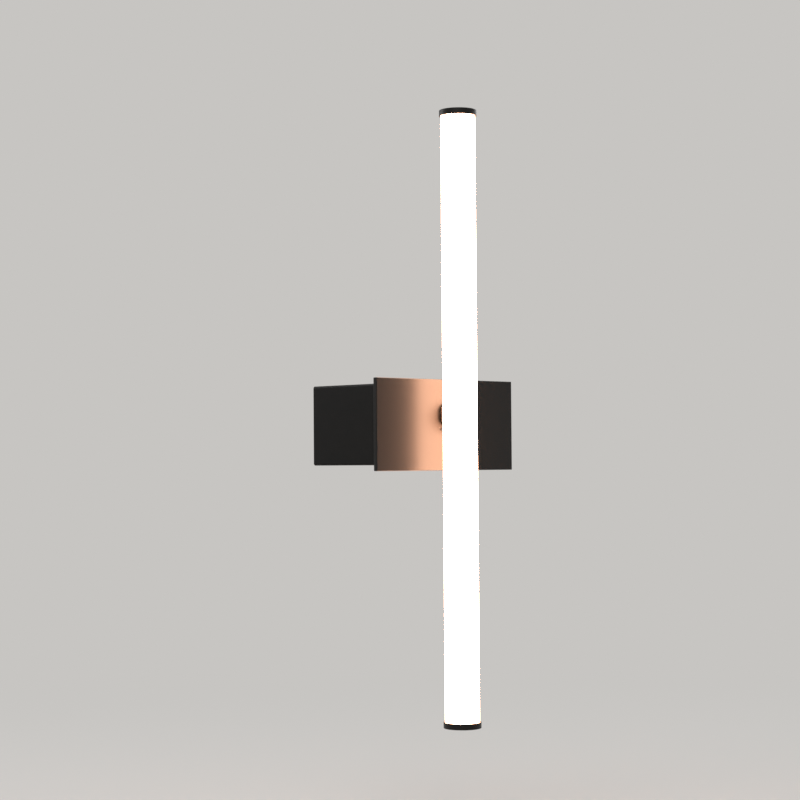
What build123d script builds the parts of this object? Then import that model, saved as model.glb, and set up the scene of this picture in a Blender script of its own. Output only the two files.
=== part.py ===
from build123d import *
import math
import os

# Tube wall light: an opal LED tube on a friction swivel, in front of a black box on the wall.
# The origin is the middle of the housing's back, on the wall. +X is right, +Y goes into
# the wall and +Z is up, in millimetres. Fronts are listed from the wall outwards, towards -Y.

os.makedirs("parts", exist_ok=True)

# Clearances
thread_clearance = 0.05    # a screw or nut on its thread
running_clearance = 0.05   # the stem in its bearing hole
slip_clearance = 0.1       # a piece that slides over or into another
hole_clearance = 0.3       # a screw or the stem through a plain hole

# Housing: folded sheet steel, open towards the wall
housing_width = 158
housing_height = 70
housing_depth = 83
housing_sheet = 1.5
housing_corner = 2.0

# Front plate: flat aluminium, wider and taller than the housing
plate_overhang = 5         # past the housing on each side
plate_thickness = 4
plate_edge = 0.6

# Lamp tube: opal tube with a black cap on each end
tube_diameter = 30
tube_wall = 2
tube_length = 535
tube_gap = 2               # from the front plate to the tube
cap_diameter = 33
cap_end = 2.5
cap_skirt = 2.8
cap_edge = 0.5
spigot_length = 10
slot_floor = 1.5           # solid floor between a cap's slot and the tube's end

# Swivel: a hollow threaded stem that turns in the front plate, above its middle
pivot_height = 6
stem_diameter = 10
stem_bore = 6
stem_engagement = 3.5      # thread that holds in the inner saddle
stem_stand_out = 1         # thread that shows behind the lock nut
stem_chamfer = 0.4
friction_washer_diameter = 18
front_washer_diameter = 13
front_washer_thickness = 0.5
rear_washer_thickness = 1
thrust_washer_thickness = 1
disc_spring_height = 1.4
disc_spring_sheet = 0.8
lock_nut_flats = 14
lock_nut_height = 5
boss_width = 14
boss_reach = 13            # from the pivot to the boss's upper end
boss_height = 4.4
pin_diameter = 2.4
pin_side = 5.5             # from the pivot to the stop pin, to the left
pin_drop = 10              # and downwards
pin_stand_out = 1.6
pin_depth = 2.5
pin_edge = 0.3

# Light engine: two-sided strips on an aluminium bar along the tube's axis
saddle_width = 16
saddle_length = 32
bar_width = 14
bar_thickness = 5
strip_width = 10
strip_thickness = 1
strip_end_gap = 17.5       # from the end of the tube to the strips
strip_margin = 1           # from the saddle to the rear strips
chip_length = 3.5
chip_width = 2.8
chip_height = 0.7
chip_pitch = 12.5
link_width = 5
link_sheet = 0.3
link_bow = 1.0             # how far a link stands off the bar's side
connector_length = 7
connector_width = 6
connector_edge = 0.5

# Wall bracket: a folded steel strip inside the housing
bracket_end_gap = 12.5     # from the housing's sides to the bracket
bracket_edge_gap = 11.5    # from the housing's top and bottom to the bracket's wings
bracket_sheet = 2
bracket_tab_width = 24
bracket_tab_reach = 18
bracket_bend = 1.0
wall_slot_spacing = 100
wall_slot_width = 4.5
wall_slot_length = 10
cable_hole_diameter = 16
bushing_bore = 12
bushing_flange = 20
bushing_flange_thickness = 1.5
housing_screw_set_back = 11   # from the wall to the screws in the top and bottom

# Screws, by thread diameter: head diameter and head height
m4 = 4
m4_head_diameter = 7
m4_head_height = 2.6
m3 = 3
m3_head_diameter = 5.6
m3_head_height = 2
m3_sunk_head_diameter = 5.6
saddle_screw_diameter = 2.5
saddle_screw_head_diameter = 4.6
saddle_screw_length = 10
saddle_screws_across = 8.4
saddle_screws_along = 22
board_screw_diameter = 2
board_screw_head_diameter = 3.8
board_screw_head_height = 1.4
cap_screw_length = 14
housing_screw_length = 6
plate_screw_reach = 2.8    # thread in the back of the front plate
plate_screw_side_gap = 17.5   # from the inside of the housing's sides
plate_screw_edge_gap = 9.5    # from the inside of the housing's top and bottom

# LED driver: a moulded case with a lid, on the inside of the housing's front wall
driver_length = 56
driver_width = 34
driver_depth = 22
driver_wall = 1.5
driver_lid_thickness = 1.5
driver_corner = 2
lid_lip = 1.2
ear_width = 10
ear_reach = 7
ear_thickness = 2
post_diameter = 5
post_height = 2.5
post_inset = 4
board_thickness = 1.6
board_margin = 1.5         # from the driver's inner wall to its circuit board
component_gap = 1
transformer_length = 18
transformer_width = 16
transformer_height = 13
bobbin_flange = 2
capacitor_diameter = 10
capacitor_height = 12
driver_connector_length = 6
driver_connector_width = 8
driver_connector_height = 12
driver_connector_inset = 8 # from the circuit board's end

# Terminal block: three poles on the inside of the front wall
pole_pitch = 10
pole_count = 3
block_side_gap = 17.5      # from the inside of the housing's side to the terminal block
block_length = 20
block_depth = 14
barrel_diameter = 5
barrel_bore = 3
barrel_height = 5.5        # from the housing's front wall to the wires in the terminals
clamp_screw_diameter = 2.6
clamp_screw_spacing = 10
clamp_screw_length = 6
clamp_screw_slot = 0.6
barrel_recess = 1          # from the block's ends to the brass barrels
block_screw_recess = 3     # from the block's back to its fixing screws' heads
block_corner = 1
block_edge = 0.6

# Earth point, in the root of the bracket's upper tab
earth_side_gap = 4         # from the tab's left side
earth_top_gap = 11.5       # from the inside of the housing's top
earth_stud_length = 10
earth_nut_flats = 7
earth_nut_height = 3.2
lug_ring_diameter = 8
lug_ring_sheet = 0.8
lug_barrel_diameter = 4
lug_barrel_length = 7

# Leads
mains_lead_diameter = 2.4
mains_lead_spacing = 4     # between live and neutral at the driver
mains_lead_height = -9     # from the middle plane to the driver's input
mains_lead_level = 11.5    # from the housing's front wall to the driver's input
mains_lead_engagement = 3  # from the terminal block's end into its barrels
led_lead_diameter = 1.4
lead_channel_width = 3
led_lead_spacing = 1.8
led_lead_turn = 6          # from the stem's end to the driver's output leads

# Widths and heights that follow from these
inside_width = housing_width - 2 * housing_sheet
inside_height = housing_height - 2 * housing_sheet
bracket_width = inside_width - 2 * bracket_end_gap
bracket_height = inside_height - 2 * bracket_edge_gap
strip_length = tube_length - 2 * strip_end_gap

# Levels from the wall to the front, along Y
wall_inside = -(housing_depth - housing_sheet)
plate_back = -housing_depth
plate_front = plate_back - plate_thickness
boss_back = plate_front - front_washer_thickness
tube_back = plate_front - tube_gap
tube_axis = tube_back - tube_diameter / 2
tube_inside = tube_back - tube_wall
stem_front = tube_inside - stem_engagement
bar_back = tube_axis + bar_thickness / 2
bar_front = tube_axis - bar_thickness / 2
thrust_back = wall_inside + rear_washer_thickness
spring_back = thrust_back + thrust_washer_thickness
nut_front = spring_back + disc_spring_height
nut_back = nut_front + lock_nut_height
stem_back = nut_back + stem_stand_out
lead_cut = (boss_back + plate_back) / 2


def facing(y, x=0.0, z=0.0):
    """A sketch plane at y that looks to the front: local x is +X, local y is +Z."""
    return Plane(origin=(x, y, z), x_dir=(1, 0, 0), z_dir=(0, -1, 0))


def backing(y, x=0.0, z=0.0):
    """A sketch plane at y that looks to the wall: local x is -X, local y is +Z."""
    return Plane(origin=(x, y, z), x_dir=(-1, 0, 0), z_dir=(0, 1, 0))


def level(z, y=0.0, side=1):
    """A sketch plane at height z that looks up, or down where side is -1."""
    return Plane(origin=(0, y, z), x_dir=(1, 0, 0), z_dir=(0, 0, side))


def leftward(x, y, z):
    """A sketch plane at x that looks to -X: local x is -Y, local y is +Z."""
    return Plane(origin=(x, y, z), x_dir=(0, -1, 0), z_dir=(-1, 0, 0))


def make_pan_screw(seat, diameter, head_diameter, head_height, length):
    """A pan-head screw with a cross recess: its head stands on the plane, its thread goes in."""
    recess_length, recess_width = head_diameter / 2, head_diameter / 6
    with BuildPart() as screw:
        with BuildSketch(seat):
            Circle(diameter / 2)
        extrude(amount=-length)
        with BuildSketch(seat):
            Circle(head_diameter / 2)
        extrude(amount=head_height)
        head_top = screw.faces().sort_by(Axis(seat.origin, seat.z_dir))[-1]
        fillet(head_top.edges(), radius=head_height / 3)
        with BuildSketch(seat.offset(head_height)):
            Rectangle(recess_length, recess_width)
            Rectangle(recess_width, recess_length)
        extrude(amount=-head_height / 2, mode=Mode.SUBTRACT)
    return screw.part


def make_sunk_screw(top, diameter, head_diameter, length):
    """A countersunk screw with a hexagon socket, its head flush with the plane."""
    with BuildPart() as screw:
        with BuildSketch(top):
            Circle(diameter / 2)
        extrude(amount=-length)
        with BuildSketch(top):
            Circle(head_diameter / 2)
        extrude(amount=-(head_diameter - diameter) / 2, taper=45)
        with BuildSketch(top):
            RegularPolygon(diameter / 3, 6)
        extrude(amount=-diameter / 2, mode=Mode.SUBTRACT)
    return screw.part


def make_lead(points, diameter):
    """One insulated lead along straight runs, with an arc at each corner.

    Each arc is the largest that the two runs beside it leave room for.
    """
    radii = []
    for before, corner, after in zip(points, points[1:], points[2:]):
        first, second = Vector(*corner) - Vector(*before), Vector(*after) - Vector(*corner)
        half_turn = math.radians(first.get_angle(second)) / 2
        radii.append(0.45 * min(first.length, second.length) / math.tan(half_turn))
    with BuildPart() as lead:
        with BuildLine() as route:
            FilletPolyline(*points, radius=radii)
        with BuildSketch(Plane(origin=route.line @ 0, z_dir=route.line % 0)):
            Circle(diameter / 2)
        sweep()
    length = route.wire().length
    filled = lead.part.volume / (math.pi * diameter**2 / 4 * length)
    print(f"lead {diameter} mm, length {length:.1f}, volume ratio {filled:.4f}, radii",
          [round(radius, 1) for radius in radii])
    return lead.part


def write(part, name):
    """Label a finished piece and write its STEP file."""
    part.label = name
    export_step(part, f"parts/{name}.step")


# ---------------------------------------------------------------- housing and front plate

plate_screw_places = [
    (x_side * (inside_width / 2 - plate_screw_side_gap),
     z_side * (inside_height / 2 - plate_screw_edge_gap))
    for x_side in (-1, 1)
    for z_side in (-1, 1)
]
# The driver lies midway between the swivel's washers and the housing's right side
driver_middle = (friction_washer_diameter / 2 + inside_width / 2) / 2
driver_left = driver_middle - driver_length / 2
block_left = -inside_width / 2 + block_side_gap
block_middle = block_left + block_length / 2
block_right = block_left + block_length
ear_screw_places = [(driver_middle, side * (driver_width + ear_reach) / 2) for side in (-1, 1)]
block_screw_places = [(block_middle, side * pole_pitch / 2) for side in (-1, 1)]

with BuildPart() as housing:
    with BuildSketch(facing(0)):
        RectangleRounded(housing_width, housing_height, housing_corner)
    extrude(amount=housing_depth)
    with BuildSketch(facing(0)):
        RectangleRounded(inside_width, inside_height, housing_corner - housing_sheet)
    extrude(amount=housing_depth - housing_sheet, mode=Mode.SUBTRACT)
    with BuildSketch(facing(wall_inside)):
        with Locations((0, pivot_height)):
            Circle(stem_diameter / 2 + hole_clearance)
        with Locations(plate_screw_places):
            Circle(m4 / 2 + hole_clearance)
        with Locations(ear_screw_places + block_screw_places):
            Circle(m3 / 2 + thread_clearance)
    extrude(amount=housing_sheet, mode=Mode.SUBTRACT)
    with BuildSketch(level(-housing_height / 2)):
        with Locations((0, -housing_screw_set_back)):
            Circle(m4 / 2 + hole_clearance)
    extrude(amount=housing_height, mode=Mode.SUBTRACT)
write(housing.part, "housing")

with BuildPart() as front_plate:
    with BuildSketch(facing(plate_back)):
        Rectangle(housing_width + 2 * plate_overhang, housing_height + 2 * plate_overhang)
    extrude(amount=plate_thickness)
    fillet(front_plate.edges(), radius=plate_edge)
    with BuildSketch(facing(plate_back)):
        with Locations((0, pivot_height)):
            Circle(stem_diameter / 2 + running_clearance)
    extrude(amount=plate_thickness, mode=Mode.SUBTRACT)
    with BuildSketch(facing(plate_back)):
        with Locations(plate_screw_places):
            Circle(m4 / 2 + thread_clearance)
    extrude(amount=plate_screw_reach + slip_clearance, mode=Mode.SUBTRACT)
    with BuildSketch(facing(plate_front)):
        with Locations((-pin_side, pivot_height - pin_drop)):
            Circle(pin_diameter / 2 + thread_clearance)
    extrude(amount=-pin_depth, mode=Mode.SUBTRACT)
write(front_plate.part, "front_plate")

# The plate's screws come from inside the housing and end in blind holes
plate_screws = Compound(children=[
    make_pan_screw(
        backing(wall_inside, x, z), m4, m4_head_diameter, m4_head_height,
        housing_sheet + plate_screw_reach,
    )
    for x, z in plate_screw_places
])
write(plate_screws, "plate_screws")

with BuildPart() as stop_pin:
    with BuildSketch(facing(plate_front + pin_depth, -pin_side, pivot_height - pin_drop)):
        Circle(pin_diameter / 2)
    extrude(amount=pin_depth + pin_stand_out)
    fillet(stop_pin.edges().sort_by(Axis.Y)[0], radius=pin_edge)
write(stop_pin.part, "stop_pin")

# ---------------------------------------------------------------- wall bracket

bracket_fold_height = inside_height - 2 * slip_clearance
earth_x = -(bracket_tab_width / 2 - earth_side_gap)
earth_z = inside_height / 2 - earth_top_gap

with BuildPart() as wall_bracket:
    with BuildSketch(facing(0)):
        RectangleRounded(bracket_width, bracket_height, housing_corner)
        Rectangle(bracket_tab_width, bracket_fold_height)
    extrude(amount=bracket_sheet)
    for side in (-1, 1):
        with BuildSketch(facing(0)):
            with Locations((0, side * (bracket_fold_height - bracket_sheet) / 2)):
                Rectangle(bracket_tab_width, bracket_sheet)
        extrude(amount=bracket_tab_reach)
    folds = wall_bracket.edges().filter_by(Axis.X).group_by(Axis.Y)[-1].sort_by(Axis.Z)
    fillet([folds[0], folds[-1]], radius=bracket_bend)
    with BuildSketch(facing(0)):
        Circle(cable_hole_diameter / 2)
        with GridLocations(wall_slot_spacing, 0, 2, 1):
            SlotOverall(wall_slot_length, wall_slot_width)
        with Locations((earth_x, earth_z)):
            Circle(m4 / 2 + thread_clearance)
    extrude(amount=bracket_sheet, mode=Mode.SUBTRACT)
    with BuildSketch(level(-bracket_fold_height / 2)):
        with Locations((0, -housing_screw_set_back)):
            Circle(m4 / 2 + thread_clearance)
    extrude(amount=bracket_fold_height, mode=Mode.SUBTRACT)
write(wall_bracket.part, "wall_bracket")

with BuildPart() as cable_bushing:
    with BuildSketch(facing(0)):
        Circle(cable_hole_diameter / 2 - slip_clearance)
    extrude(amount=bracket_sheet)
    with BuildSketch(facing(-bracket_sheet)):
        Circle(bushing_flange / 2)
    extrude(amount=bushing_flange_thickness)
    fillet(cable_bushing.edges().sort_by(Axis.Y)[0], radius=bushing_flange_thickness / 3)
    with BuildSketch(facing(0)):
        Circle(bushing_bore / 2)
    extrude(amount=bracket_sheet + bushing_flange_thickness, mode=Mode.SUBTRACT)
write(cable_bushing.part, "cable_bushing")

# One screw through the top and one through the bottom of the housing hold it to the bracket
housing_screws = Compound(children=[
    make_pan_screw(
        level(side * housing_height / 2, -housing_screw_set_back, side),
        m4, m4_head_diameter, m4_head_height, housing_screw_length,
    )
    for side in (-1, 1)
])
write(housing_screws, "housing_screws")

# ---------------------------------------------------------------- swivel

for name, start, thickness, diameter, hole in (
    ("friction_washer_front", boss_back, front_washer_thickness, front_washer_diameter,
     hole_clearance),
    ("friction_washer_rear", thrust_back, rear_washer_thickness, friction_washer_diameter,
     hole_clearance),
    ("thrust_washer", spring_back, thrust_washer_thickness, friction_washer_diameter,
     slip_clearance),
):
    towards_plate = 1 if start > plate_back else -1
    with BuildPart() as washer:
        with BuildSketch(facing(start, z=pivot_height)):
            Circle(diameter / 2)
            Circle(stem_diameter / 2 + hole, mode=Mode.SUBTRACT)
        extrude(amount=towards_plate * thickness)
    write(washer.part, name)

# A cupped ring that presses the thrust washer forwards at its rim
spring_inner = stem_diameter / 2 + hole_clearance
spring_outer = lock_nut_flats / 2
with BuildPart() as disc_spring:
    with BuildSketch(level(pivot_height)):
        with BuildLine():
            Polyline(
                (spring_outer, spring_back),
                (spring_outer, spring_back + disc_spring_sheet),
                (spring_inner, nut_front),
                (spring_inner, nut_front - disc_spring_sheet),
                close=True,
            )
        make_face()
    revolve(axis=Axis((0, 0, pivot_height), (0, 1, 0)))
write(disc_spring.part, "disc_spring")

with BuildPart() as lock_nut:
    with BuildSketch(facing(nut_back, z=pivot_height)):
        RegularPolygon(lock_nut_flats / 2, 6, major_radius=False)
        Circle(stem_diameter / 2 + thread_clearance, mode=Mode.SUBTRACT)
    extrude(amount=lock_nut_height)
write(lock_nut.part, "lock_nut")

with BuildPart() as swivel_stem:
    with BuildSketch(facing(stem_back, z=pivot_height)):
        Circle(stem_diameter / 2)
    extrude(amount=stem_back - stem_front)
    chamfer(swivel_stem.edges(), length=stem_chamfer)
    with BuildSketch(facing(stem_back, z=pivot_height)):
        Circle(stem_bore / 2)
    extrude(amount=stem_back - stem_front, mode=Mode.SUBTRACT)
write(swivel_stem.part, "swivel_stem")

# The boss cradles the tube. Its longer end points up at rest and meets the stop pin when it turns
with BuildPart() as swivel_boss:
    with BuildSketch(facing(boss_back, z=pivot_height)):
        with Locations((0, (boss_reach - boss_width / 2) / 2)):
            SlotOverall(boss_reach + boss_width / 2, boss_width, rotation=90)
    extrude(amount=boss_height)
    with BuildSketch(level(pivot_height - boss_width, tube_axis)):
        Circle(tube_diameter / 2 + thread_clearance)
    extrude(amount=2 * boss_width + boss_reach, mode=Mode.SUBTRACT)
    with BuildSketch(facing(boss_back, z=pivot_height)):
        Circle(stem_diameter / 2 + thread_clearance)
    extrude(amount=boss_height, mode=Mode.SUBTRACT)
write(swivel_boss.part, "swivel_boss")

# ---------------------------------------------------------------- lamp tube

with BuildPart() as diffuser_tube:
    with BuildSketch(level(pivot_height - tube_length / 2, tube_axis)):
        Circle(tube_diameter / 2)
        Circle(tube_diameter / 2 - tube_wall, mode=Mode.SUBTRACT)
    extrude(amount=tube_length)
    with BuildSketch(facing(plate_front, z=pivot_height)):
        Circle(stem_diameter / 2 + hole_clearance)
    extrude(amount=tube_gap + 2 * tube_wall, mode=Mode.SUBTRACT)
write(diffuser_tube.part, "diffuser_tube")

saddle_screw_places = [
    (-saddle_screws_across / 2, saddle_screws_along / 2),
    (saddle_screws_across / 2, saddle_screws_along / 2),
    (0, -saddle_screws_along / 2),
]
lead_channel_start = -stem_bore / 2
lead_channel_length = saddle_length / 2 - lead_channel_start

# The saddle lies on the inside of the tube, takes the stem's thread and carries the bar
with BuildPart() as inner_saddle:
    with BuildSketch(level(pivot_height - saddle_length / 2, tube_axis)):
        Circle(tube_diameter / 2 - tube_wall - thread_clearance)
    extrude(amount=saddle_length)
    with BuildSketch(facing(tube_back, z=pivot_height)):
        Rectangle(saddle_width, saddle_length)
    extrude(amount=tube_back - bar_back, mode=Mode.INTERSECT)
    with BuildSketch(facing(tube_back, z=pivot_height)):
        Circle(stem_diameter / 2 + thread_clearance)
    extrude(amount=tube_back - stem_front, mode=Mode.SUBTRACT)
    with BuildSketch(facing(stem_front, z=pivot_height)):
        with Locations((0, lead_channel_start + lead_channel_length / 2)):
            Rectangle(lead_channel_width, lead_channel_length)
    extrude(amount=stem_front - bar_back, mode=Mode.SUBTRACT)
    with BuildSketch(facing(bar_back, z=pivot_height)):
        with Locations(saddle_screw_places):
            Circle(saddle_screw_diameter / 2 + thread_clearance)
    extrude(amount=-(saddle_screw_length - bar_thickness + slip_clearance), mode=Mode.SUBTRACT)
write(inner_saddle.part, "inner_saddle")

bar_reach = tube_length / 2 - slot_floor
bar_ends = [level(pivot_height + side * bar_reach, tube_axis, side) for side in (-1, 1)]

with BuildPart() as carrier_bar:
    with BuildSketch(level(pivot_height - bar_reach, tube_axis)):
        Rectangle(bar_width, bar_thickness)
    extrude(amount=2 * bar_reach)
    with Locations(facing(bar_front, z=pivot_height)):
        with Locations(saddle_screw_places):
            CounterSinkHole(
                saddle_screw_diameter / 2 + thread_clearance,
                saddle_screw_head_diameter / 2 + thread_clearance,
                depth=bar_thickness,
                counter_sink_angle=90,
            )
    for bar_end in bar_ends:
        with BuildSketch(bar_end):
            Circle(m3 / 2 + thread_clearance)
        extrude(amount=-cap_screw_length, mode=Mode.SUBTRACT)
write(carrier_bar.part, "carrier_bar")

saddle_screws = Compound(children=[
    make_sunk_screw(
        facing(bar_front, x, pivot_height + z),
        saddle_screw_diameter, saddle_screw_head_diameter, saddle_screw_length,
    )
    for x, z in saddle_screw_places
])
write(saddle_screws, "saddle_screws")

# Each cap closes the tube, and its spigot holds an end of the bar in a slot
cap_tops = []
for name, side in (("end_cap_upper", 1), ("end_cap_lower", -1)):
    tube_end = level(pivot_height + side * tube_length / 2, tube_axis, side)
    cap_top = tube_end.offset(cap_end)
    cap_tops.append(cap_top)
    with BuildPart() as end_cap:
        with BuildSketch(tube_end):
            Circle(cap_diameter / 2)
        extrude(amount=cap_end)
        with BuildSketch(tube_end):
            Circle(cap_diameter / 2)
            Circle(tube_diameter / 2 + slip_clearance, mode=Mode.SUBTRACT)
        extrude(amount=-cap_skirt)
        outer_rim = end_cap.faces().sort_by(Axis(tube_end.origin, tube_end.z_dir))[-1]
        fillet(outer_rim.edges(), radius=cap_edge)
        with BuildSketch(tube_end):
            Circle(tube_diameter / 2 - tube_wall - slip_clearance)
        extrude(amount=-spigot_length)
        with BuildSketch(tube_end.offset(-slot_floor)):
            Rectangle(bar_width + 2 * slip_clearance, bar_thickness + 2 * slip_clearance)
        extrude(amount=-(spigot_length - slot_floor), mode=Mode.SUBTRACT)
        with Locations(cap_top):
            CounterSinkHole(
                m3 / 2 + hole_clearance,
                m3_sunk_head_diameter / 2 + thread_clearance,
                depth=cap_end + slot_floor,
                counter_sink_angle=90,
            )
    write(end_cap.part, name)

cap_screws = Compound(children=[
    make_sunk_screw(cap_top, m3, m3_sunk_head_diameter, cap_screw_length)
    for cap_top in cap_tops
])
write(cap_screws, "cap_screws")

# ---------------------------------------------------------------- light engine

rear_strip_start = saddle_length / 2 + strip_margin
rear_strip_length = strip_length / 2 - rear_strip_start

with BuildPart() as led_strip_front:
    with BuildSketch(facing(bar_front, z=pivot_height)):
        Rectangle(strip_width, strip_length)
    extrude(amount=strip_thickness)
write(led_strip_front.part, "led_strip_front")

for name, side in (("led_strip_rear_upper", 1), ("led_strip_rear_lower", -1)):
    middle = pivot_height + side * (rear_strip_start + rear_strip_length / 2)
    with BuildPart() as rear_strip:
        with BuildSketch(facing(bar_back, z=middle)):
            Rectangle(strip_width, rear_strip_length)
        extrude(amount=-strip_thickness)
    write(rear_strip.part, name)

link_start = strip_length / 2 - link_width
chip_count = int((link_start - chip_length / 2) // chip_pitch)
first_rear_chip = math.ceil((rear_strip_start + connector_length + chip_length) / chip_pitch)

with BuildPart() as led_chips_front:
    with BuildSketch(facing(bar_front - strip_thickness, z=pivot_height)):
        with GridLocations(0, chip_pitch, 1, 2 * chip_count + 1):
            Rectangle(chip_width, chip_length)
    extrude(amount=chip_height)
write(led_chips_front.part, "led_chips_front")

with BuildPart() as led_chips_rear:
    with BuildSketch(facing(bar_back + strip_thickness, z=pivot_height)):
        for number in range(first_rear_chip, chip_count + 1):
            with Locations((0, number * chip_pitch), (0, -number * chip_pitch)):
                Rectangle(chip_width, chip_length)
    extrude(amount=-chip_height)
write(led_chips_rear.part, "led_chips_rear")

# Flat flexible links round the bar's side join the front strip to the two rear strips
link_depth = bar_thickness + 2 * strip_thickness
link_side = bar_width / 2 + link_bow
with BuildPart() as strip_links:
    for bottom in (pivot_height + link_start, pivot_height - link_start - link_width):
        with BuildSketch(level(bottom, tube_axis)):
            with Locations(((link_side + link_sheet) / 2, 0)):
                Rectangle(link_side + link_sheet, link_depth + 2 * link_sheet)
            with Locations((link_side / 2, 0)):
                Rectangle(link_side, link_depth, mode=Mode.SUBTRACT)
        extrude(amount=link_width)
write(strip_links.part, "strip_links")

lead_near = stem_front - led_lead_diameter / 2 - led_lead_spacing
lead_far = lead_near - led_lead_spacing
connector_bottom = pivot_height + rear_strip_start + strip_margin
strip_back = bar_back + strip_thickness

with BuildPart() as board_connector:
    with BuildSketch(facing(strip_back, z=connector_bottom + connector_length / 2)):
        Rectangle(connector_width, connector_length)
    extrude(amount=strip_back - lead_near - led_lead_diameter)
    back_edges = board_connector.edges().filter_by(Axis.Z).group_by(Axis.Y)[-1]
    chamfer(back_edges, length=connector_edge)
write(board_connector.part, "board_connector")

# The pair is parted inside the stem, where it twists as the tube turns
tube_leads = Compound(children=[
    make_lead(
        [(0, lead_cut, pivot_height + offset), (0, depth, pivot_height + offset),
         (0, depth, connector_bottom)],
        led_lead_diameter,
    )
    for offset, depth in ((led_lead_spacing / 2, lead_near), (-led_lead_spacing / 2, lead_far))
])
write(tube_leads, "tube_leads")

# ---------------------------------------------------------------- LED driver

driver_rim = wall_inside + driver_depth - driver_lid_thickness
board_length = driver_length - 2 * (driver_wall + board_margin)
board_width = driver_width - 2 * (driver_wall + board_margin)
board_bottom = wall_inside + driver_wall + post_height
board_top = board_bottom + board_thickness
post_places = [
    (driver_middle + x_side * (board_length / 2 - post_inset),
     z_side * (board_width / 2 - post_inset))
    for x_side in (-1, 1)
    for z_side in (-1, 1)
]
input_places = [mains_lead_height + side * mains_lead_spacing / 2 for side in (1, -1)]
output_places = [pivot_height + side * led_lead_spacing / 2 for side in (1, -1)]
input_level = wall_inside + mains_lead_level
output_level = stem_back + led_lead_turn

with BuildPart() as driver_case:
    with BuildSketch(facing(wall_inside, driver_middle)):
        RectangleRounded(driver_length, driver_width, driver_corner)
    extrude(amount=-(driver_rim - wall_inside))
    with BuildSketch(facing(wall_inside + driver_wall, driver_middle)):
        RectangleRounded(
            driver_length - 2 * driver_wall,
            driver_width - 2 * driver_wall,
            driver_corner - driver_wall,
        )
    extrude(amount=-(driver_rim - wall_inside - driver_wall), mode=Mode.SUBTRACT)
    with BuildSketch(facing(wall_inside, driver_middle)):
        RectangleRounded(ear_width, driver_width + 2 * ear_reach, driver_corner)
    extrude(amount=-ear_thickness)
    with BuildSketch(facing(wall_inside)):
        with Locations(ear_screw_places):
            Circle(m3 / 2 + hole_clearance)
    extrude(amount=-ear_thickness, mode=Mode.SUBTRACT)
    with BuildSketch(facing(wall_inside)):
        with Locations(post_places):
            Circle(post_diameter / 2)
    extrude(amount=-(board_bottom - wall_inside))
    with BuildSketch(facing(wall_inside + driver_wall)):
        with Locations(post_places):
            Circle(board_screw_diameter / 2 + thread_clearance)
    extrude(amount=-post_height, mode=Mode.SUBTRACT)
    with BuildSketch(leftward(driver_left + driver_wall, 0, 0)):
        with Locations([(-input_level, z) for z in input_places]):
            Circle(mains_lead_diameter / 2 + hole_clearance)
        with Locations([(-output_level, z) for z in output_places]):
            Circle(led_lead_diameter / 2 + hole_clearance)
    extrude(amount=driver_wall, mode=Mode.SUBTRACT)
write(driver_case.part, "driver_case")

lip_length = driver_length - 2 * (driver_wall + slip_clearance)
lip_width = driver_width - 2 * (driver_wall + slip_clearance)
with BuildPart() as driver_lid:
    with BuildSketch(backing(driver_rim, driver_middle)):
        RectangleRounded(driver_length, driver_width, driver_corner)
    extrude(amount=driver_lid_thickness)
    fillet(driver_lid.faces().sort_by(Axis.Y)[-1].edges(), radius=driver_lid_thickness / 3)
    with BuildSketch(facing(driver_rim, driver_middle)):
        RectangleRounded(lip_length, lip_width, driver_corner - driver_wall)
        Rectangle(lip_length - 2 * lid_lip, lip_width - 2 * lid_lip, mode=Mode.SUBTRACT)
    extrude(amount=lid_lip)
write(driver_lid.part, "driver_lid")

driver_screws = Compound(children=[
    make_pan_screw(
        backing(wall_inside + ear_thickness, x, z), m3, m3_head_diameter, m3_head_height,
        ear_thickness + housing_sheet - slip_clearance,
    )
    for x, z in ear_screw_places
])
write(driver_screws, "driver_screws")

with BuildPart() as driver_board:
    with BuildSketch(facing(board_bottom, driver_middle)):
        Rectangle(board_length, board_width)
    extrude(amount=-board_thickness)
    with BuildSketch(facing(board_bottom)):
        with Locations(post_places):
            Circle(board_screw_diameter / 2 + hole_clearance)
    extrude(amount=-board_thickness, mode=Mode.SUBTRACT)
write(driver_board.part, "driver_board")

board_screws = Compound(children=[
    make_pan_screw(
        backing(board_top, x, z), board_screw_diameter, board_screw_head_diameter,
        board_screw_head_height, board_thickness + post_height - slip_clearance,
    )
    for x, z in post_places
])
write(board_screws, "board_screws")

# A core with two flanges, wound between them
with BuildPart() as driver_transformer:
    with BuildSketch(backing(board_top, driver_middle)):
        Rectangle(transformer_length, transformer_width)
    extrude(amount=bobbin_flange)
    with BuildSketch(backing(board_top + bobbin_flange, driver_middle)):
        Rectangle(transformer_length - 2 * bobbin_flange, transformer_width - 2 * bobbin_flange)
    extrude(amount=transformer_height - 2 * bobbin_flange)
    with BuildSketch(backing(board_top + transformer_height - bobbin_flange, driver_middle)):
        Rectangle(transformer_length, transformer_width)
    extrude(amount=bobbin_flange)
write(driver_transformer.part, "driver_transformer")

capacitor_x = driver_middle + transformer_length / 2 + component_gap + capacitor_diameter / 2
capacitor_z = (capacitor_diameter + component_gap) / 2
with BuildPart() as driver_capacitors:
    with BuildSketch(facing(board_top)):
        with Locations((capacitor_x, -capacitor_z), (capacitor_x, capacitor_z)):
            Circle(capacitor_diameter / 2)
    extrude(amount=-capacitor_height)
    fillet(driver_capacitors.edges().group_by(Axis.Y)[-1], radius=capacitor_diameter / 12)
write(driver_capacitors.part, "driver_capacitors")

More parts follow.
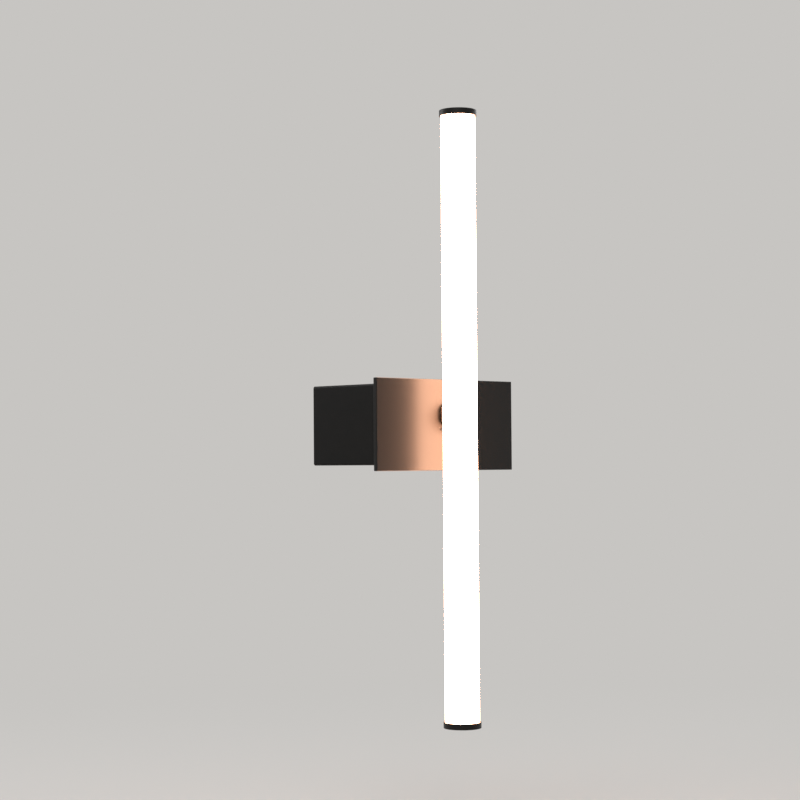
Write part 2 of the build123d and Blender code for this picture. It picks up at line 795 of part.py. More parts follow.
connector_left = driver_middle - board_length / 2 + driver_connector_inset
for name, height in (("input_connector", mains_lead_height), ("output_connector", pivot_height)):
    with BuildPart() as driver_connector:
        with BuildSketch(backing(board_top, connector_left + driver_connector_length / 2, height)):
            Rectangle(driver_connector_length, driver_connector_width)
        extrude(amount=driver_connector_height)
        chamfer(driver_connector.edges().group_by(Axis.Y)[-1], length=connector_edge)
    write(driver_connector.part, name)

# ---------------------------------------------------------------- terminal block

block_back = wall_inside + block_depth
barrel_axis = wall_inside + barrel_height
barrel_length = block_length - 2 * barrel_recess
clamp_screw_tip = barrel_axis + barrel_bore / 2
pole_heights = [(pole - (pole_count - 1) / 2) * pole_pitch for pole in range(pole_count)]
clamp_screw_places = [
    (block_middle + side * clamp_screw_spacing / 2, z) for z in pole_heights for side in (-1, 1)
]

with BuildPart() as terminal_block:
    with BuildSketch(facing(wall_inside, block_middle)):
        RectangleRounded(block_length, pole_count * pole_pitch, block_corner)
    extrude(amount=-block_depth)
    fillet(terminal_block.faces().sort_by(Axis.Y)[-1].edges(), radius=block_edge)
    with BuildSketch(leftward(block_right, barrel_axis, 0)):
        with Locations([(0, z) for z in pole_heights]):
            Circle(barrel_diameter / 2 + slip_clearance)
    extrude(amount=block_length, mode=Mode.SUBTRACT)
    with BuildSketch(facing(block_back)):
        with Locations(clamp_screw_places):
            Circle(clamp_screw_diameter / 2 + hole_clearance)
    extrude(amount=block_back - barrel_axis, mode=Mode.SUBTRACT)
    with Locations(backing(block_back)):
        with Locations([(-x, z) for x, z in block_screw_places]):
            CounterBoreHole(
                m3 / 2 + hole_clearance,
                m3_head_diameter / 2 + hole_clearance,
                block_screw_recess,
                depth=block_depth,
            )
write(terminal_block.part, "terminal_block")

with BuildPart() as terminal_barrels:
    with BuildSketch(leftward(block_right - barrel_recess, barrel_axis, 0)):
        with Locations([(0, z) for z in pole_heights]):
            Circle(barrel_diameter / 2)
            Circle(barrel_bore / 2, mode=Mode.SUBTRACT)
    extrude(amount=barrel_length)
    with BuildSketch(facing(block_back)):
        with Locations(clamp_screw_places):
            Circle(clamp_screw_diameter / 2 + thread_clearance)
    extrude(amount=block_back - barrel_axis, mode=Mode.SUBTRACT)
write(terminal_barrels.part, "terminal_barrels")

# Slotted grub screws that press the wires down in the barrels
with BuildPart() as clamp_screws:
    with BuildSketch(backing(clamp_screw_tip)):
        with Locations([(-x, z) for x, z in clamp_screw_places]):
            Circle(clamp_screw_diameter / 2)
    extrude(amount=clamp_screw_length)
    with BuildSketch(facing(clamp_screw_tip + clamp_screw_length)):
        with Locations(clamp_screw_places):
            Rectangle(clamp_screw_slot, clamp_screw_diameter)
    extrude(amount=clamp_screw_slot, mode=Mode.SUBTRACT)
write(clamp_screws.part, "clamp_screws")

block_screws = Compound(children=[
    make_pan_screw(
        backing(block_back - block_screw_recess, x, z), m3, m3_head_diameter, m3_head_height,
        block_depth - block_screw_recess + housing_sheet - slip_clearance,
    )
    for x, z in block_screw_places
])
write(block_screws, "block_screws")

# ---------------------------------------------------------------- earth point

lug_barrel_axis = -bracket_sheet - lug_barrel_diameter / 2 - slip_clearance
lug_barrel_end = earth_x - lug_ring_diameter / 2 - lug_barrel_length

with BuildPart() as earth_stud:
    with BuildSketch(facing(0, earth_x, earth_z)):
        Circle(m4 / 2)
    extrude(amount=bracket_sheet + earth_stud_length)
    chamfer(earth_stud.edges().sort_by(Axis.Y)[0], length=stem_chamfer)
write(earth_stud.part, "earth_stud")

with BuildPart() as earth_lug:
    with BuildSketch(facing(-bracket_sheet, earth_x, earth_z)):
        Circle(lug_ring_diameter / 2)
        with Locations((-lug_ring_diameter / 2, 0)):
            Rectangle(lug_ring_diameter, lug_barrel_diameter)
    extrude(amount=lug_ring_sheet)
    with BuildSketch(leftward(lug_barrel_end + lug_barrel_length, lug_barrel_axis, earth_z)):
        Circle(lug_barrel_diameter / 2)
    extrude(amount=lug_barrel_length)
    with BuildSketch(facing(-bracket_sheet, earth_x, earth_z)):
        Circle(m4 / 2 + hole_clearance)
    extrude(amount=lug_ring_sheet, mode=Mode.SUBTRACT)
write(earth_lug.part, "earth_lug")

with BuildPart() as earth_nut:
    with BuildSketch(facing(-bracket_sheet - lug_ring_sheet, earth_x, earth_z)):
        RegularPolygon(earth_nut_flats / 2, 6, major_radius=False)
        Circle(m4 / 2 + thread_clearance, mode=Mode.SUBTRACT)
    extrude(amount=earth_nut_height)
write(earth_nut.part, "earth_nut")

# ---------------------------------------------------------------- leads in the housing

lead_start = block_right - mains_lead_engagement
live_height, neutral_height, earth_height = pole_heights

for name, start_height, end_height in (
    ("neutral_lead", neutral_height, input_places[0]),
    ("live_lead", live_height, input_places[1]),
):
    mains_lead = make_lead(
        [
            (lead_start, barrel_axis, start_height),
            (block_right + 9, barrel_axis, start_height),
            (block_right + 22, input_level, end_height),
            (connector_left, input_level, end_height),
        ],
        mains_lead_diameter,
    )
    write(mains_lead, name)

earth_lead = make_lead(
    [
        (lead_start, barrel_axis, earth_height),
        (block_right + 7, barrel_axis, earth_height),
        (block_right + 15, barrel_axis + 8, earth_height + 1.5),
        (lug_barrel_end - 18, lug_barrel_axis - 11, earth_z - 1.5),
        (lug_barrel_end - 12, lug_barrel_axis, earth_z),
        (lug_barrel_end, lug_barrel_axis, earth_z),
    ],
    mains_lead_diameter,
)
write(earth_lead, "earth_lead")

led_leads = Compound(children=[
    make_lead(
        [(connector_left, output_level, z), (0, output_level, z), (0, lead_cut, z)],
        led_lead_diameter,
    )
    for z in output_places
])
write(led_leads, "led_leads")
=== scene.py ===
import math

import bmesh
import bpy
from mathutils import Matrix, Quaternion, Vector


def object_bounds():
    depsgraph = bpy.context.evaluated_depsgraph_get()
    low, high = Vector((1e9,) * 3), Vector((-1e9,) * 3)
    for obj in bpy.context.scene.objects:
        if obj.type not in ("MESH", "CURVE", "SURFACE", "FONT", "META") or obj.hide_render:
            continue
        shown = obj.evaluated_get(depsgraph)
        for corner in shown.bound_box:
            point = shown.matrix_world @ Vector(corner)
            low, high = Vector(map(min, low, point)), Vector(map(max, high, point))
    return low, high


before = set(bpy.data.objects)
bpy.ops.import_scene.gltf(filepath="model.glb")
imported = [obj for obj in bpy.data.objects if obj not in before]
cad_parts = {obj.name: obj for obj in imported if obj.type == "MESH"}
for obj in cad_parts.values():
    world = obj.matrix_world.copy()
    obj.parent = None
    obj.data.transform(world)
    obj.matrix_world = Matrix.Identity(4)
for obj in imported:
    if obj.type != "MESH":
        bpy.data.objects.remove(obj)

# The CAD model's own box, which the floor needs
cad_low, cad_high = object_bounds()


# ---------------------------------------------------------------- wall bracket
# The strip that is screwed to the wall. It is cold-rolled steel sheet, cut, folded forwards at top
# and bottom and then zinc plated, which leaves it bright grey with a faint cloudy bloom.

MM = 0.001
NOISE_LOW, NOISE_HIGH = 0.3, 0.7    # nearly all of a noise's values lie between these

# A colour Mix node's sockets share their names with its other types', so they go by number
MIX_SHARE, MIX_FIRST, MIX_SECOND, MIXED_COLOUR = 0, 6, 7, 2


def linear(hex_colour):
    """The linear RGBA colour of an sRGB hex value, by the curve of the sRGB standard."""
    channels = [int(hex_colour[i:i + 2], 16) / 255 for i in (1, 3, 5)]
    return [c / 12.92 if c <= 0.04045 else ((c + 0.055) / 1.055) ** 2.4 for c in channels] + [1.0]


def add_node(tree, kind, inputs=None, **settings):
    """Adds a node with its settings; each input is a value, or the output socket that feeds it."""
    made = tree.nodes.new(kind)
    for name, value in settings.items():
        setattr(made, name, value)
    for name, value in (inputs or {}).items():
        if isinstance(value, bpy.types.NodeSocket):
            tree.links.new(value, made.inputs[name])
        else:
            made.inputs[name].default_value = value
    return made


def start_material(name, colour, roughness, metallic=0.0, specular=0.5):
    """A material whose even values are set on its one Principled shader."""
    material = bpy.data.materials.new(name)
    material.use_nodes = True
    shader = material.node_tree.nodes["Principled BSDF"]
    shader.inputs["Base Color"].default_value = linear(colour)
    shader.inputs["Roughness"].default_value = roughness
    shader.inputs["Metallic"].default_value = metallic
    shader.inputs["Specular IOR Level"].default_value = specular
    return material, material.node_tree, shader


def add_grain(tree, grain_mm, stretch=(1, 1, 1), detail=3.0):
    """Noise with grains of that size in millimetres, drawn out along the axes by stretch."""
    place = add_node(tree, "ShaderNodeTexCoord")
    drawn = add_node(tree, "ShaderNodeMapping", {
        "Vector": place.outputs["Object"],
        "Scale": [1 / (grain_mm * MM * along) for along in stretch],
    })
    noise = add_node(tree, "ShaderNodeTexNoise", {
        "Vector": drawn.outputs[0], "Scale": 1.0, "Detail": detail,
    })
    return noise.outputs["Fac"]


def vary_gloss(tree, shader, grain, smoothest, roughest):
    """Lets the roughness follow a grain between two values."""
    ranged = add_node(tree, "ShaderNodeMapRange", {
        "Value": grain, "From Min": NOISE_LOW, "From Max": NOISE_HIGH,
        "To Min": smoothest, "To Max": roughest,
    })
    tree.links.new(ranged.outputs[0], shader.inputs["Roughness"])


def vary_colour(tree, shader, grain, dark, light):
    """Lets the colour follow a grain between two colours."""
    share = add_node(tree, "ShaderNodeMapRange", {
        "Value": grain, "From Min": NOISE_LOW, "From Max": NOISE_HIGH,
    })
    mixed = add_node(tree, "ShaderNodeMix", {
        MIX_SHARE: share.outputs[0], MIX_FIRST: linear(dark), MIX_SECOND: linear(light),
    }, data_type="RGBA")
    tree.links.new(mixed.outputs[MIXED_COLOUR], shader.inputs["Base Color"])


def raise_grain(tree, shader, grain, height_mm):
    """Gives the surface the relief of a grain, of that height in millimetres."""
    bump = add_node(tree, "ShaderNodeBump", {"Height": grain, "Distance": height_mm * MM})
    tree.links.new(bump.outputs[0], shader.inputs["Normal"])


def dress(material, *names):
    """Gives CAD nodes this material."""
    for name in names:
        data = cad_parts[name].data
        data.materials.clear()
        data.materials.append(material)


# Rolling draws the sheet's grain out along X, and the zinc's bloom is some 8 mm across. The roll
# marks are really a tenth of a millimetre apart, and are drawn at 0.5 mm to show
zinc_sheet, tree, shader = start_material("zinc plated steel sheet", "#B9BBBC",
                                          roughness=0.32, metallic=1.0)
bloom = add_grain(tree, grain_mm=8)
vary_colour(tree, shader, bloom, dark="#B2B5B7", light="#C2C4C3")
rolled = add_grain(tree, grain_mm=0.5, stretch=(12, 1, 1))
vary_gloss(tree, shader, rolled, smoothest=0.26, roughest=0.4)
raise_grain(tree, shader, rolled, height_mm=0.01)
dress(zinc_sheet, "wall_bracket")

# The bushing is moulded rubber, dull black with dusty patches a millimetre or so across
rubber, tree, shader = start_material("moulded black rubber", "#1C1B1B",
                                      roughness=0.7, specular=0.3)
dusty = add_grain(tree, grain_mm=1.2)
vary_gloss(tree, shader, dusty, smoothest=0.6, roughest=0.8)
raise_grain(tree, shader, dusty, height_mm=0.02)
dress(rubber, "cable_bushing")


# ---------------------------------------------------------------- housing
# A deep-drawn steel box, open to the wall, that slides over the bracket and is held by a screw
# through its top and its bottom. It is powder coated: black, with a dull orange peel of 0.9 mm.

powder_coat, tree, shader = start_material("black powder coat on steel", "#0B0A09",
                                           roughness=0.55, specular=0.15)
peel = add_grain(tree, grain_mm=0.9, detail=2.0)
clouded = add_grain(tree, grain_mm=14)
vary_colour(tree, shader, clouded, dark="#090807", light="#0E0C0B")
vary_gloss(tree, shader, peel, smoothest=0.5, roughest=0.62)
raise_grain(tree, shader, peel, height_mm=0.03)
dress(powder_coat, "housing")

# Black oxide leaves screws a soft blue-black with a thin film of oil
black_oxide, tree, shader = start_material("black oxide on steel screws", "#191818",
                                           roughness=0.36)
oiled = add_grain(tree, grain_mm=0.7)
vary_colour(tree, shader, oiled, dark="#141313", light="#1F1E20")
vary_gloss(tree, shader, oiled, smoothest=0.3, roughest=0.44)
dress(black_oxide, "housing_screws")


# ---------------------------------------------------------------- front plate
# A flat 4 mm aluminium plate, screwed to the housing from inside, bead blasted and anodised black.
# It is satin, mirrors the lit tube as a soft warm band, and otherwise reflects little.

# Bead blasting leaves pits of about 0.1 mm, drawn at 0.4 mm to show
anodised, tree, shader = start_material("satin black anodised aluminium", "#080706",
                                        roughness=0.34, specular=0.33)
blasted = add_grain(tree, grain_mm=0.4, detail=2.0)
vary_gloss(tree, shader, blasted, smoothest=0.32, roughest=0.37)
raise_grain(tree, shader, blasted, height_mm=0.002)
dress(anodised, "front_plate")

# Bright zinc over turned and rolled steel, a little bluer than the sheet, cloudy at 0.8 mm
zinc_screw, tree, shader = start_material("bright zinc on steel screws", "#BCC0C4",
                                          roughness=0.25, metallic=1.0)
brightened = add_grain(tree, grain_mm=0.8)
vary_colour(tree, shader, brightened, dark="#AEB2B7", light="#C8CBCE")
vary_gloss(tree, shader, brightened, smoothest=0.2, roughest=0.34)
dress(zinc_screw, "plate_screws")

# The stop pin is a hardened steel dowel with a ground, softly bright surface, whose marks are too
# fine to show and are drawn at 0.5 mm
ground_steel, tree, shader = start_material("ground steel dowel", "#C9CACB",
                                            roughness=0.34, metallic=1.0)
ground = add_grain(tree, grain_mm=0.5)
vary_gloss(tree, shader, ground, smoothest=0.3, roughest=0.4)
dress(ground_steel, "stop_pin")


# ---------------------------------------------------------------- LED driver
# The mains converter behind the plate: a white moulded case with a clipped lid, screwed by two
# ears. Its board carries a wound transformer, two capacitors and two plug-in connectors.

# A moulded case has a fine spark-eroded grain, drawn at 0.5 mm, several times its size, to show
white_case, tree, shader = start_material("white moulded polycarbonate", "#DEDCD6",
                                          roughness=0.45)
spark_eroded = add_grain(tree, grain_mm=0.5)
clouded = add_grain(tree, grain_mm=20)
vary_colour(tree, shader, clouded, dark="#D9D7D0", light="#E3E1DC")
vary_gloss(tree, shader, spark_eroded, smoothest=0.4, roughest=0.54)
raise_grain(tree, shader, spark_eroded, height_mm=0.01)
dress(white_case, "driver_case", "driver_lid")
dress(zinc_screw, "driver_screws", "board_screws")

# Glass-fibre board under green solder mask, with the weave just showing through
solder_mask, tree, shader = start_material("green solder mask on glass fibre", "#1D5A36",
                                           roughness=0.35)
weave = add_grain(tree, grain_mm=0.6)
vary_colour(tree, shader, weave, dark="#184E2E", light="#22663F")
waves = add_grain(tree, grain_mm=1.5)
vary_gloss(tree, shader, waves, smoothest=0.28, roughest=0.42)
dress(solder_mask, "driver_board")

# The transformer's flanges and its winding of 0.5 mm wire are dipped in black varnish
varnish, tree, shader = start_material("varnished transformer", "#211F1D", roughness=0.4)
wound = add_grain(tree, grain_mm=0.5, stretch=(8, 1, 8))
vary_colour(tree, shader, wound, dark="#1A1817", light="#2B2825")
raise_grain(tree, shader, wound, height_mm=0.08)
dress(varnish, "driver_transformer")

# Shrunk PVC sleeve over aluminium cans, smooth and glossy with slow waves
sleeve, tree, shader = start_material("black PVC capacitor sleeve", "#1E2126", roughness=0.3)
waves = add_grain(tree, grain_mm=2)
vary_gloss(tree, shader, waves, smoothest=0.24, roughest=0.36)
dress(sleeve, "driver_capacitors")

# Undyed moulded nylon is a warm, slightly uneven white with a soft sheen
nylon, tree, shader = start_material("natural white nylon", "#E6E2D6", roughness=0.5)
clouded = add_grain(tree, grain_mm=3)
vary_colour(tree, shader, clouded, dark="#E0DBCD", light="#ECE9DF")
moulded = add_grain(tree, grain_mm=0.8)
vary_gloss(tree, shader, moulded, smoothest=0.44, roughest=0.58)
dress(nylon, "input_connector", "output_connector")


# ---------------------------------------------------------------- terminal block
# A three-pole block of white nylon for the supply cable, on the back of the housing's front. Brass
# barrels with slotted screws clamp the wires, and two screws hold it.

dress(nylon, "terminal_block")
dress(zinc_screw, "clamp_screws", "block_screws")

# Turned brass with the tool's fine rings, slightly tarnished. The rings are drawn 0.3 mm apart,
# about three times their real spacing, to show
brass, tree, shader = start_material("turned brass", "#C9A55C", roughness=0.28, metallic=1.0)
tarnish = add_grain(tree, grain_mm=4)
vary_colour(tree, shader, tarnish, dark="#B8934C", light="#D4B26C")
tool_rings = add_grain(tree, grain_mm=0.3, stretch=(1, 6, 6))
vary_gloss(tree, shader, tool_rings, smoothest=0.22, roughest=0.36)
dress(brass, "terminal_barrels")


# ---------------------------------------------------------------- earth point
# A brass stud pressed into the root of the bracket's upper fold. It takes a tinned crimped lug
# under a brass nut, so that bracket and housing are earthed.

WAVE_RATE = 20    # radians that a wave texture turns through in one unit, at a scale of 1

dress(brass, "earth_nut")


def add_thread(tree, shader, pitch_mm, depth_mm):
    """Rings round the Y axis at that pitch, as a cut thread looks from the side."""
    place = add_node(tree, "ShaderNodeTexCoord")
    rings = add_node(tree, "ShaderNodeTexWave", {
        "Vector": place.outputs["Object"],
        "Scale": 2 * math.pi / (WAVE_RATE * pitch_mm * MM),
        "Distortion": 0.0, "Detail": 0.0,
    }, bands_direction="Y")
    raise_grain(tree, shader, rings.outputs["Fac"], depth_mm)


# The stud's M4 thread is rings 0.7 mm apart, which is as much of it as shows
threaded_brass, tree, shader = start_material("threaded brass", "#C9A55C",
                                              roughness=0.3, metallic=1.0)
add_thread(tree, shader, pitch_mm=0.7, depth_mm=0.35)
dress(threaded_brass, "earth_stud")

# Hot tinning leaves copper a soft, cloudy silver
tinned, tree, shader = start_material("tinned copper", "#C4C3BE", roughness=0.36, metallic=1.0)
clouded = add_grain(tree, grain_mm=1.5)
vary_colour(tree, shader, clouded, dark="#B5B4AE", light="#D0CFCB")
wiped = add_grain(tree, grain_mm=0.8)
vary_gloss(tree, shader, wiped, smoothest=0.28, roughest=0.46)
dress(tinned, "earth_lug")


# ---------------------------------------------------------------- leads
# PVC insulated wire between the terminals, the driver and the earth lug, and a red pair from the
# driver into the hollow stem. The insulation is extruded, smooth and softly glossy.


def extruded_pvc(name, colour):
    """Insulation in one colour, with the faint waviness of an extruded skin."""
    pvc, tree, shader = start_material(name, colour, roughness=0.38)
    skin = add_grain(tree, grain_mm=1.5)
    vary_gloss(tree, shader, skin, smoothest=0.32, roughest=0.46)
    raise_grain(tree, shader, skin, height_mm=0.02)
    return pvc


brown_pvc = extruded_pvc("brown PVC insulation", "#5B3A22")
dress(brown_pvc, "live_lead")
blue_pvc = extruded_pvc("blue PVC insulation", "#2458A6")
dress(blue_pvc, "neutral_lead")
red_pvc = extruded_pvc("red PVC insulation", "#A8231C")
dress(red_pvc, "led_leads")

# The earth's insulation is green, with a yellow stripe along each of two opposite sides
EARTH_GREEN, EARTH_YELLOW = "#2F7D32", "#E2C52C"
green_facing = Vector((0.25, 0.7, 0.6)).normalized()    # the green faces this way and its opposite
stripe_edge, stripe_blur = 0.45, 0.03    # as cosines of the angle from that way
striped_pvc = extruded_pvc("green and yellow PVC insulation", EARTH_GREEN)
tree = striped_pvc.node_tree
place = add_node(tree, "ShaderNodeTexCoord")
turned = add_node(tree, "ShaderNodeVectorMath", {
    0: place.outputs["Normal"], 1: green_facing,
}, operation="DOT_PRODUCT")
to_side = add_node(tree, "ShaderNodeMath", {0: turned.outputs["Value"]}, operation="ABSOLUTE")
stripe = add_node(tree, "ShaderNodeMapRange", {
    "Value": to_side.outputs[0],
    "From Min": stripe_edge - stripe_blur, "From Max": stripe_edge + stripe_blur,
})
mixed = add_node(tree, "ShaderNodeMix", {
    MIX_SHARE: stripe.outputs[0],
    MIX_FIRST: linear(EARTH_YELLOW), MIX_SECOND: linear(EARTH_GREEN),
}, data_type="RGBA")
tree.links.new(mixed.outputs[MIXED_COLOUR], tree.nodes["Principled BSDF"].inputs["Base Color"])
dress(striped_pvc, "earth_lead")


# ---------------------------------------------------------------- swivel
# A hollow threaded stem that clamps the lamp to the plate through friction washers, a cupped
# spring and a lock nut. A dark boss cradles the tube in front and meets the stop pin.

# The stem's fine M10 thread is rings 1 mm apart
threaded_zinc, tree, shader = start_material("zinc plated thread", "#B6B9BD",
                                             roughness=0.28, metallic=1.0)
add_thread(tree, shader, pitch_mm=1.0, depth_mm=0.5)
dress(threaded_zinc, "swivel_stem")
dress(zinc_screw, "thrust_washer", "lock_nut")

# Heat-treated spring steel, dark grey with a straw tinge
spring_steel, tree, shader = start_material("tempered spring steel", "#7C7872",
                                            roughness=0.3, metallic=1.0)
tempered = add_grain(tree, grain_mm=3)
vary_colour(tree, shader, tempered, dark="#6E6B68", light="#8C857A")
scaled = add_grain(tree, grain_mm=0.6)
vary_gloss(tree, shader, scaled, smoothest=0.24, roughest=0.38)
dress(spring_steel, "disc_spring")

# Dyed moulded nylon, an even dull black
black_nylon, tree, shader = start_material("black nylon washer", "#171615",
                                           roughness=0.5, specular=0.4)
moulded = add_grain(tree, grain_mm=0.8)
vary_gloss(tree, shader, moulded, smoothest=0.44, roughest=0.58)
dress(black_nylon, "friction_washer_front", "friction_washer_rear")

# The boss is cast zinc under a dark lacquer. Its colour is painted lighter and browner than that
# lacquer: painted light for the tube's warm glow on its sides
# Painted light: this base colour is lighter and warmer than the real dark lacquer, for the tube's
# glow on the boss
boss_paint_lit_brown, tree, shader = start_material("gunmetal lacquer on cast zinc", "#695E54",
                                        roughness=0.5)
cast = add_grain(tree, grain_mm=0.8)
vary_gloss(tree, shader, cast, smoothest=0.44, roughest=0.56)
raise_grain(tree, shader, cast, height_mm=0.01)
dress(boss_paint_lit_brown, "swivel_boss")


# ---------------------------------------------------------------- light engine
# Inside the tube, an extruded aluminium bar on a saddle carries LED strips front and rear. White
# boards bear rows of phosphor chips, joined by amber film links and fed by the red pair.

# The die leaves fine bright lines along the bar, drawn 0.25 mm apart to show
extruded, tree, shader = start_material("extruded aluminium", "#C9CBCD",
                                        roughness=0.34, metallic=1.0)
die_lines = add_grain(tree, grain_mm=0.25, stretch=(1, 1, 60))
vary_gloss(tree, shader, die_lines, smoothest=0.26, roughest=0.42)
raise_grain(tree, shader, die_lines, height_mm=0.008)
dress(extruded, "inner_saddle", "carrier_bar")
dress(zinc_screw, "saddle_screws")

# Screen-printed solder mask is a faintly uneven white with a soft gloss
white_mask, tree, shader = start_material("white solder mask", "#ECEAE4", roughness=0.4)
clouded = add_grain(tree, grain_mm=5)
vary_colour(tree, shader, clouded, dark="#E6E4DD", light="#F1EFEA")
printed = add_grain(tree, grain_mm=0.6)
vary_gloss(tree, shader, printed, smoothest=0.34, roughest=0.48)
dress(white_mask, "led_strip_front", "led_strip_rear_upper", "led_strip_rear_lower")

# Silicone filled with phosphor powder is a speckled egg yellow while it is dark. The powder is far
# too fine to show, so its speckle is drawn at 0.4 mm
phosphor, tree, shader = start_material("yellow phosphor silicone", "#E9C65A", roughness=0.3)
speckle = add_grain(tree, grain_mm=0.4)
vary_colour(tree, shader, speckle, dark="#E2BC4C", light="#EFD06A")
dress(phosphor, "led_chips_front", "led_chips_rear")

# Polyimide film over copper is amber and glossy
amber_film, tree, shader = start_material("amber polyimide film", "#B4702A", roughness=0.25)
waves = add_grain(tree, grain_mm=1.5)
vary_gloss(tree, shader, waves, smoothest=0.18, roughest=0.32)
dress(amber_film, "strip_links")
dress(nylon, "board_connector")
dress(red_pvc, "tube_leads")


# ---------------------------------------------------------------- lamp tube
# A 30 mm tube of opal acrylic round the light engine, which shows as one even warm-white bar. Its
# glow is painted darker and redder round the pivot at its back: painted shade for the saddle's
# shadow where it parts the rear strips.

# The second colour is painted shade: the glow darkened round the pivot for the saddle's shadow
# inside the tube
LAMP_WARM, LAMP_PAINTED_SHADE = "#FFBE99", "#A77052"
lamp_strength = 28.0    # strong enough that the black plate mirrors it as a warm band
pivot_on_tube = Vector((0, -89, 6)) * MM
painted_shade_reach, even_reach = 3 * MM, 19 * MM    # from the pivot, over the tube's skin
opal, tree, shader = start_material("opal acrylic, lit from inside", "#F3EEE7", roughness=0.3)
waves = add_grain(tree, grain_mm=2)
vary_gloss(tree, shader, waves, smoothest=0.27, roughest=0.34)
shader.inputs["Emission Strength"].default_value = lamp_strength
place = add_node(tree, "ShaderNodeTexCoord")
from_pivot = add_node(tree, "ShaderNodeVectorMath", {
    0: place.outputs["Object"], 1: pivot_on_tube,
}, operation="DISTANCE")
share = add_node(tree, "ShaderNodeMapRange", {
    "Value": from_pivot.outputs["Value"], "From Min": painted_shade_reach, "From Max": even_reach,
}, interpolation_type="SMOOTHSTEP")
# Painted shade: nearer the pivot than even_reach, the glow mixes towards the darker colour
mixed = add_node(tree, "ShaderNodeMix", {
    MIX_SHARE: share.outputs[0], MIX_FIRST: linear(LAMP_PAINTED_SHADE), MIX_SECOND: linear(LAMP_WARM),
}, data_type="RGBA")
tree.links.new(mixed.outputs[MIXED_COLOUR], shader.inputs["Emission Color"])
dress(opal, "diffuser_tube")


# ---------------------------------------------------------------- end caps
# A thin black cap with a fine rounded edge closes each end of the tube, held by a countersunk
# socket screw in the end of the bar. It is injection moulded in ABS, satin black.

# The mould's satin grain is drawn at 0.5 mm, several times its size, to show
moulded_abs, tree, shader = start_material("satin black moulded ABS", "#0D0B0A",
                                           roughness=0.42, specular=0.25)
satin = add_grain(tree, grain_mm=0.5)
vary_gloss(tree, shader, satin, smoothest=0.36, roughest=0.46)
raise_grain(tree, shader, satin, height_mm=0.008)
dress(moulded_abs, "end_cap_upper", "end_cap_lower")
dress(black_oxide, "cap_screws")


# ---------------------------------------------------------------- studio
# A pale floor that runs into the pale background with no line, and soft light from all round. The
# camera stands to the left of the light, a little under its middle, as the photograph's did.

BACKGROUND, SOFT_LIGHT = "#C7C5C2", "#F4F5F6"
as_written, soft_strength = 1.0, 0.6    # at a strength of 1 a colour shows as it is written
camera_distance = 1824.3 * MM    # on the floor plan, from the middle of the housing's back
camera_swing = math.radians(43.08)    # from straight in front of the plate, to its left
camera_height = -32.9 * MM    # from the middle of the housing's back
camera_roll = -0.007    # radians
camera_target = Vector((-30.5, -60.0, 22.2)) * MM
camera_lens = 90.05    # millimetres

camera_data = bpy.data.cameras.new("camera")
camera_data.lens = camera_lens
camera = bpy.data.objects.new("camera", camera_data)
bpy.context.scene.collection.objects.link(camera)
camera.location = (
    -camera_distance * math.sin(camera_swing),
    -camera_distance * math.cos(camera_swing),
    camera_height,
)
level_aim = (camera_target - camera.location).to_track_quat("-Z", "Y")
camera.rotation_mode = "QUATERNION"
camera.rotation_quaternion = level_aim @ Quaternion((0, 0, 1), camera_roll)
bpy.context.scene.camera = camera
bpy.context.scene.view_settings.view_transform = "Standard"

# The lens, gloss and glass see the pale background, and everything else gets a softer light
world = bpy.data.worlds.new("studio")
bpy.context.scene.world = world
world.use_nodes = True
tree = world.node_tree
tree.nodes.clear()
ray = add_node(tree, "ShaderNodeLightPath")
seen = add_node(tree, "ShaderNodeMath", {
    0: ray.outputs["Is Camera Ray"], 1: ray.outputs["Is Glossy Ray"],
}, operation="MAXIMUM")
seen = add_node(tree, "ShaderNodeMath", {
    0: seen.outputs[0], 1: ray.outputs["Is Transmission Ray"],
}, operation="MAXIMUM")
soft_light = add_node(tree, "ShaderNodeBackground", {
    "Color": linear(SOFT_LIGHT), "Strength": soft_strength,
})
backdrop = add_node(tree, "ShaderNodeBackground", {
    "Color": linear(BACKGROUND), "Strength": as_written,
})
shown = add_node(tree, "ShaderNodeMixShader", {
    0: seen.outputs[0], 1: soft_light.outputs[0], 2: backdrop.outputs[0],
})
add_node(tree, "ShaderNodeOutputWorld", {"Surface": shown.outputs[0]})


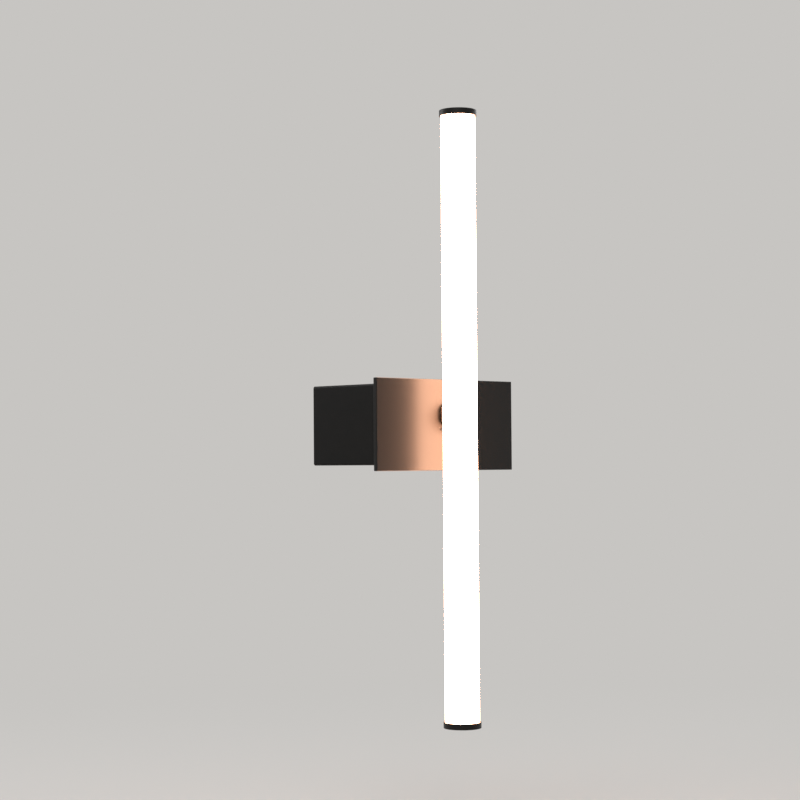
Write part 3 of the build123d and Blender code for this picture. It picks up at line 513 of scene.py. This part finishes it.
def hang_soft_box(name, place, width, power):
    """A square lamp of that power in watts, at place in metres, aimed at the light's middle."""
    lamp = bpy.data.lights.new(name, "AREA")
    lamp.size = width
    lamp.energy = power
    soft_box = bpy.data.objects.new(name, lamp)
    bpy.context.scene.collection.objects.link(soft_box)
    soft_box.location = place
    soft_box.rotation_euler = (-Vector(place)).to_track_quat("-Z", "Y").to_euler()


hang_soft_box("soft box left", place=(-1.7, -1.3, 2.0), width=1.4, power=34)
hang_soft_box("soft box right", place=(2.2, 0.4, 1.2), width=1.6, power=16)
hang_soft_box("soft box behind", place=(-0.8, 2.4, 1.4), width=1.6, power=26)

# One large sheet of paper, lit round the light and fading to the background's own colour
floor_level = cad_low.z - 150 * MM
floor_reach = 40.0    # metres from the middle to each side
fade_start, fade_end = 0.4, 1.8    # metres from the middle
sheet = bmesh.new()
bmesh.ops.create_grid(sheet, x_segments=1, y_segments=1, size=floor_reach,
                      matrix=Matrix.Translation((0, 0, floor_level)))
mesh = bpy.data.meshes.new("floor")
sheet.to_mesh(mesh)
sheet.free()
floor = bpy.data.objects.new("floor", mesh)
bpy.context.scene.collection.objects.link(floor)
paper = bpy.data.materials.new("seamless background paper")
paper.use_nodes = True
tree = paper.node_tree
tree.nodes.clear()
place = add_node(tree, "ShaderNodeTexCoord")
flat = add_node(tree, "ShaderNodeVectorMath", {
    0: place.outputs["Object"], 1: (1, 1, 0),
}, operation="MULTIPLY")
reach = add_node(tree, "ShaderNodeVectorMath", {0: flat.outputs[0]}, operation="LENGTH")
fade = add_node(tree, "ShaderNodeMapRange", {
    "Value": reach.outputs["Value"], "From Min": fade_start, "From Max": fade_end,
}, interpolation_type="SMOOTHSTEP")
lit = add_node(tree, "ShaderNodeBsdfDiffuse", {"Color": linear(BACKGROUND)})
even = add_node(tree, "ShaderNodeEmission", {
    "Color": linear(BACKGROUND), "Strength": as_written,
})
mixed = add_node(tree, "ShaderNodeMixShader", {
    0: fade.outputs[0], 1: lit.outputs[0], 2: even.outputs[0],
})
add_node(tree, "ShaderNodeOutputMaterial", {"Surface": mixed.outputs[0]})
mesh.materials.append(paper)
